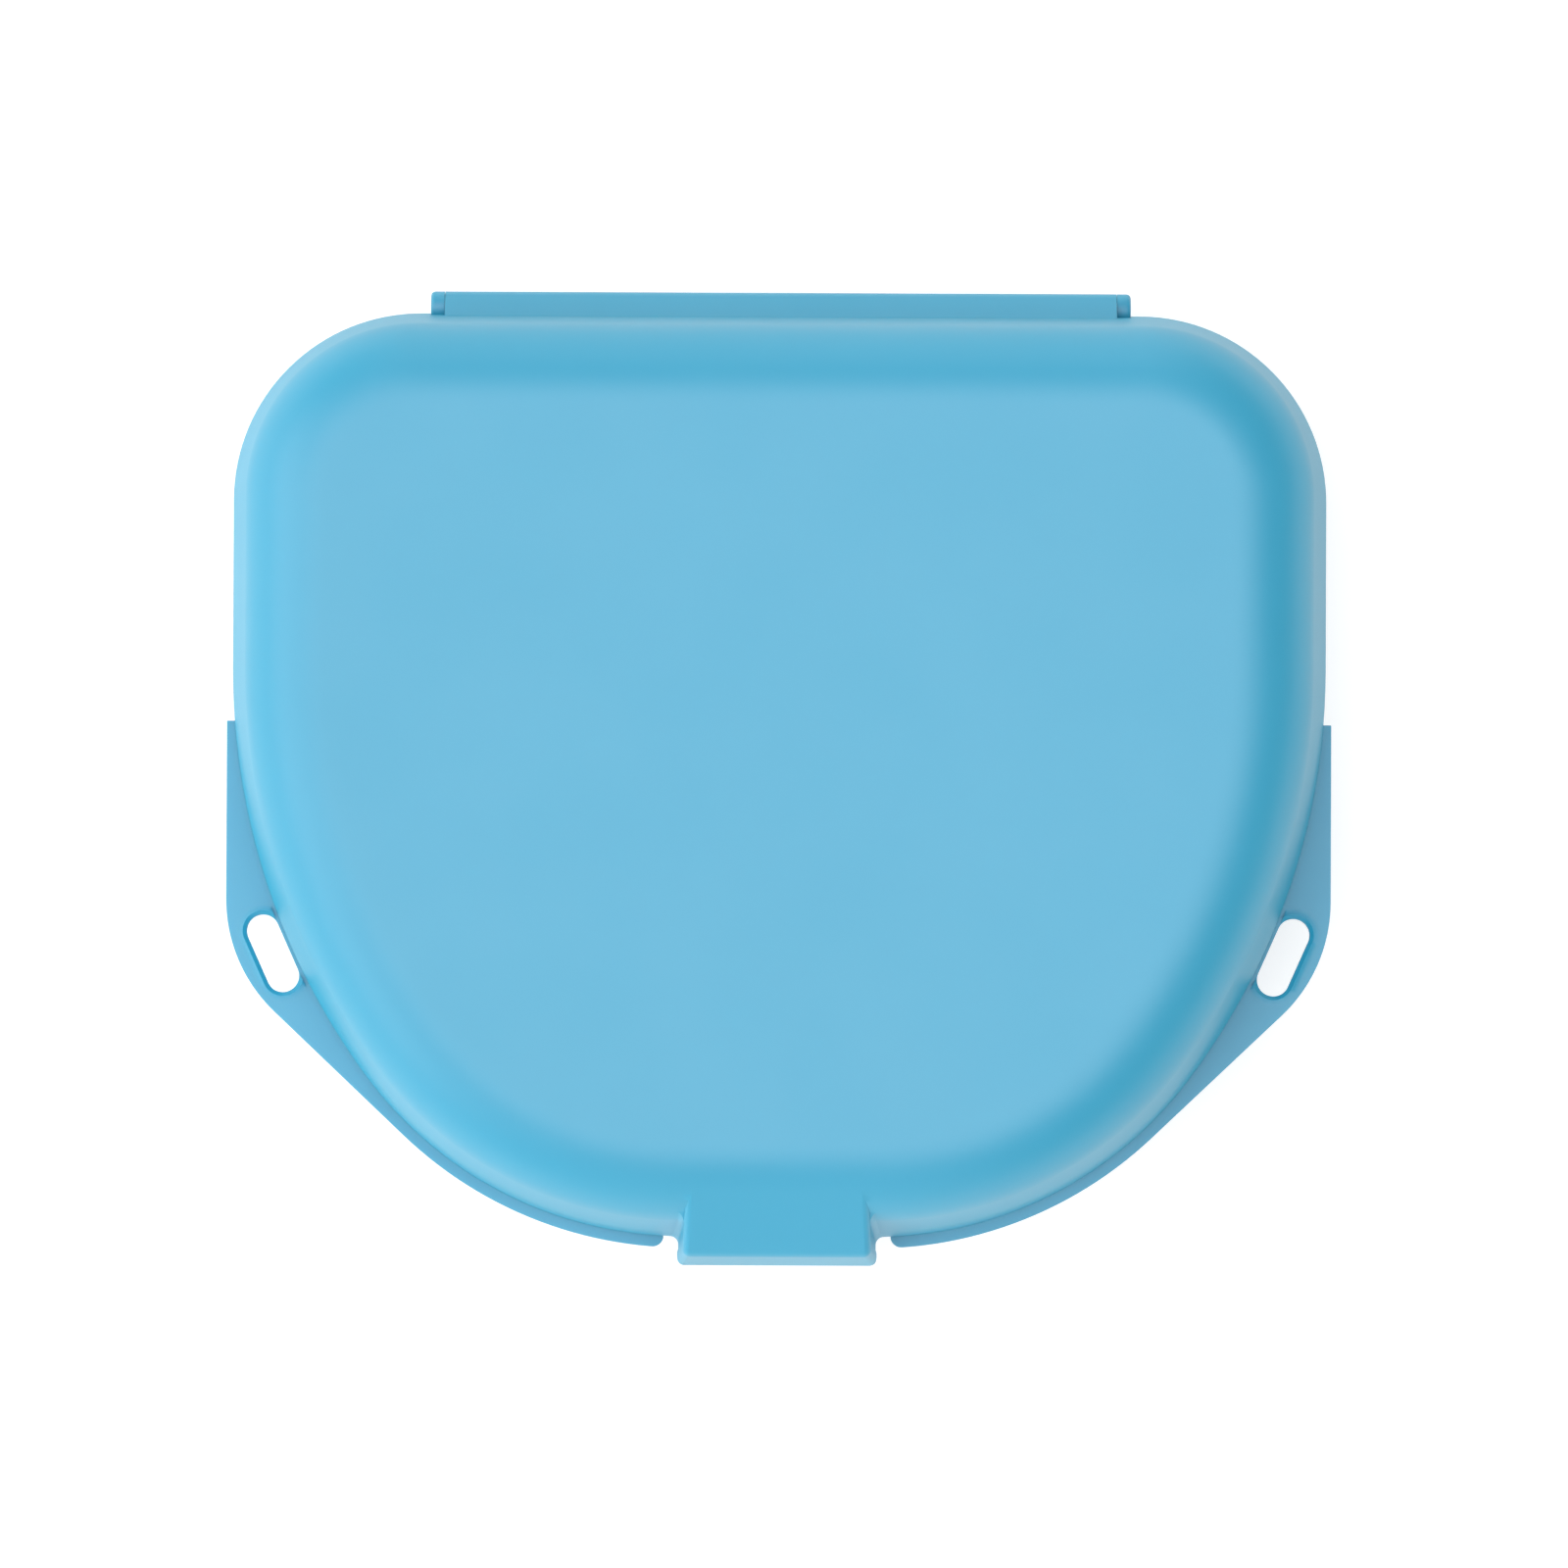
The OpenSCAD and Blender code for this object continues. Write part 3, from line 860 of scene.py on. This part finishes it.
def finish_moulding(piece, body, node):
    """Smooth shading, then its body, and hides the node it stands for."""
    pick(piece)
    bpy.ops.object.shade_smooth_by_angle(angle=math.radians(smooth_deg))
    apply_modifier(piece, "WEIGHTED_NORMAL", keep_sharp=True, weight=100)
    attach(piece, body)
    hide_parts(node)
    size = [round(side / MM, 2) for side in piece.dimensions]
    print(piece.name, "rides on", body, "and measures", size, "mm")


finish_moulding(lid, "lid", "lid_shell")
finish_moulding(base, "base", "base_tray")

# %% [markdown]
# ## Satin polypropylene
# The case is moulded in sky-blue polypropylene. Close to, the surface has a fine spark-eroded
# grain that breaks up the reflections, and the colour drifts a little over a few centimetres.
# Both are noise on Object coordinates, so they stay with the piece when it moves. The colour and
# roughness noises pass through a ramp, which turns their middle values into the range that we
# want; the grain drives a bump.

# %% Helpers for finishes
noise_low = 0.35
noise_high = 0.65


def new_material(name):
    """A node material, with its nodes, its links and its Principled shader."""
    material = bpy.data.materials.new(name)
    material.use_nodes = True
    nodes, links = material.node_tree.nodes, material.node_tree.links
    return material, nodes, links, nodes["Principled BSDF"]


def noise(nodes, links, per_metre, detail):
    """Noise on Object coordinates, this many cells to the metre."""
    place = nodes.new("ShaderNodeTexCoord")
    texture = nodes.new("ShaderNodeTexNoise")
    texture.inputs["Scale"].default_value = per_metre
    texture.inputs["Detail"].default_value = detail
    links.new(place.outputs["Object"], texture.inputs["Vector"])
    return texture.outputs["Fac"]


def ramp(nodes, links, source, low, high):
    """A two-colour ramp between the middle values of a noise."""
    node = nodes.new("ShaderNodeValToRGB")
    first, last = node.color_ramp.elements
    first.position = noise_low
    last.position = noise_high
    first.color = low
    last.color = high
    links.new(source, node.inputs["Fac"])
    return node.outputs["Color"]


def grey(value):
    """A grey of this brightness, with full alpha."""
    return (value, value, value, 1)


print("finish helpers ready")

# %% [markdown]
# The plastic shines more than the shader does by default, and its diffuse light is spread as on
# a rough surface, which keeps the sides from falling dark. A touch of subsurface light softens
# the thin edges, as in the real material.

# %% Blue plastic
tint_cells = 35
tint_low = (0.027, 0.371, 0.561, 1)
tint_high = (0.029, 0.375, 0.567, 1)
satin_cells = 120
satin_low = grey(0.47)
satin_high = grey(0.49)
grain_cells = 9000
grain_depth = 0.03 * MM
grain_strength = 0.12
plastic_sockets = {
    "IOR": 1.49,
    "Specular IOR Level": 1.0,
    "Diffuse Roughness": 1.0,
    "Subsurface Weight": 0.15,
    "Subsurface Radius": (0.4, 0.9, 1.0),
    "Subsurface Scale": 1.0 * MM,
}


def make_plastic():
    """Sky-blue satin plastic with a fine grain."""
    material, nodes, links, shader = new_material("blue_polypropylene")
    drift = noise(nodes, links, tint_cells, detail=3)
    links.new(ramp(nodes, links, drift, tint_low, tint_high), shader.inputs["Base Color"])
    sheen = noise(nodes, links, satin_cells, detail=2)
    links.new(ramp(nodes, links, sheen, satin_low, satin_high), shader.inputs["Roughness"])
    bump = nodes.new("ShaderNodeBump")
    bump.inputs["Strength"].default_value = grain_strength
    bump.inputs["Distance"].default_value = grain_depth
    links.new(noise(nodes, links, grain_cells, detail=2), bump.inputs["Height"])
    links.new(bump.outputs["Normal"], shader.inputs["Normal"])
    for socket, value in plastic_sockets.items():
        shader.inputs[socket].default_value = value
    return material


plastic = make_plastic()
for moulding in (lid, base):
    moulding.data.materials.clear()
    moulding.data.materials.append(plastic)
print("plastic on", lid.name, "and", base.name)

# %% [markdown]
# ## Drawn steel pins
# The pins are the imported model's own meshes. They only need a finish: bright wire with fine
# drawing lines along its length, so the noise is stretched along X.

# %% Steel on the pins
line_cells = 12000
line_stretch = (0.04, 1, 1)
wire_dark = (0.56, 0.57, 0.59, 1)
wire_bright = (0.66, 0.67, 0.69, 1)
wire_smooth = grey(0.24)
wire_rough = grey(0.36)


def make_steel():
    """Bright drawn wire."""
    material, nodes, links, shader = new_material("drawn_steel")
    place = nodes.new("ShaderNodeTexCoord")
    stretch = nodes.new("ShaderNodeMapping")
    stretch.inputs["Scale"].default_value = line_stretch
    lines = nodes.new("ShaderNodeTexNoise")
    lines.inputs["Scale"].default_value = line_cells
    links.new(place.outputs["Object"], stretch.inputs["Vector"])
    links.new(stretch.outputs["Vector"], lines.inputs["Vector"])
    streaks = lines.outputs["Fac"]
    links.new(ramp(nodes, links, streaks, wire_dark, wire_bright), shader.inputs["Base Color"])
    links.new(ramp(nodes, links, streaks, wire_smooth, wire_rough), shader.inputs["Roughness"])
    shader.inputs["Metallic"].default_value = 1
    return material


steel = make_steel()
for name in ("hinge_pin_left", "hinge_pin_right"):
    pin = frame["nodes"][name]
    pin.data.materials.clear()
    pin.data.materials.append(steel)
print("steel on both pins")

# %% [markdown]
# ## The floor
# The case lies on white paper that carries only a faint shadow. More light would bleach the
# case too, and white paper would throw much light back on its sides. So the paper itself is
# grey, and it is lifted towards white only where the camera, or a reflection, sees it.

# %% White paper
floor_w = 4.0
floor_cuts = 3
paper_grey = 0.6
paper_rough = 0.9
paper_lift = 0.6

bpy.ops.object.select_all(action="DESELECT")
bpy.ops.mesh.primitive_plane_add(size=floor_w, location=(0, 0, 0))
floor = bpy.context.object
floor.name = floor.data.name = "floor"
bpy.ops.object.mode_set(mode="EDIT")
bpy.ops.mesh.subdivide(number_cuts=floor_cuts)
bpy.ops.object.mode_set(mode="OBJECT")


def make_floor():
    """Grey paper that is lifted towards white where the camera sees it."""
    material, nodes, links, shader = new_material("white_paper")
    shader.inputs["Base Color"].default_value = grey(paper_grey)
    shader.inputs["Roughness"].default_value = paper_rough
    shader.inputs["Emission Color"].default_value = grey(1)
    path = nodes.new("ShaderNodeLightPath")
    seen = path.outputs["Is Camera Ray"]
    for ray in ("Is Glossy Ray", "Is Transmission Ray"):
        either = nodes.new("ShaderNodeMath")
        either.operation = "MAXIMUM"
        links.new(seen, either.inputs[0])
        links.new(path.outputs[ray], either.inputs[1])
        seen = either.outputs["Value"]
    lift = nodes.new("ShaderNodeMath")
    lift.operation = "MULTIPLY"
    lift.inputs[1].default_value = paper_lift
    links.new(seen, lift.inputs[0])
    links.new(lift.outputs["Value"], shader.inputs["Emission Strength"])
    return material


floor.data.materials.append(make_floor())
print("floor laid")

# %% [markdown]
# ## The light
# One big soft box hangs overhead and a second one stands at the left, so the left shoulder is
# bright and the right one darker, as in the photo. Two small boxes fill the front and the back,
# and a pale world fills the rest. A box is set by its brightness, not by its power, so that its
# size can change without changing how bright it looks.

# %% Soft boxes and world
world_level = 0.24


def soft_box(name, place, wide, tall, radiance):
    """An area light of this brightness that looks at the case and isn't seen itself."""
    data = bpy.data.lights.new(name, "AREA")
    data.shape = "RECTANGLE"
    data.size = wide
    data.size_y = tall
    data.energy = radiance * math.pi * wide * tall
    lamp = bpy.data.objects.new(name, data)
    lamp.location = place
    lamp.rotation_mode = "QUATERNION"
    lamp.rotation_quaternion = (-Vector(place)).to_track_quat("-Z", "Y")
    lamp.visible_camera = False
    bpy.context.collection.objects.link(lamp)


soft_box("overhead_box", place=(-0.035, -0.05, 1.0), wide=1.43, tall=0.95, radiance=2.5)
soft_box("left_box", place=(-0.87, -0.1, 0.485), wide=1.6, tall=0.7, radiance=2.2)
soft_box("front_box", place=(0.0, -0.9, 0.3), wide=0.6, tall=0.6, radiance=0.8)
soft_box("back_box", place=(0.0, 0.9, 0.3), wide=0.6, tall=0.6, radiance=1.1)

world = bpy.data.worlds.new("studio")
world.use_nodes = True
sky = world.node_tree.nodes["Background"]
sky.inputs["Color"].default_value = grey(1)
sky.inputs["Strength"].default_value = world_level
bpy.context.scene.world = world
print("lit by four soft boxes and the world")

# %% [markdown]
# ## The camera
# The photo looks straight down with hardly any perspective, so the camera has a long lens and
# stands far off. Its distance follows from the width that the picture shows. A small tilt and
# roll are the photographer's own.

# %% Camera
view_width = 114.7 * MM
lens_mm = 400
sensor_mm = 36
camera_tilt = math.radians(1.7)
camera_roll = math.radians(0.25)
aim = Vector((0.54 * MM, -0.37 * MM, lid_rim))

camera_data = bpy.data.cameras.new("camera")
camera_data.lens = lens_mm
camera_data.sensor_width = sensor_mm
distance = view_width * lens_mm / sensor_mm
camera = bpy.data.objects.new("camera", camera_data)
camera.rotation_euler = (camera_tilt, 0, camera_roll)
camera.location = aim + distance * Vector((0, -math.sin(camera_tilt), math.cos(camera_tilt)))
bpy.context.collection.objects.link(camera)
bpy.context.scene.camera = camera
bpy.context.scene.view_settings.view_transform = "Standard"
print("camera", round(distance, 3), "m above the case")
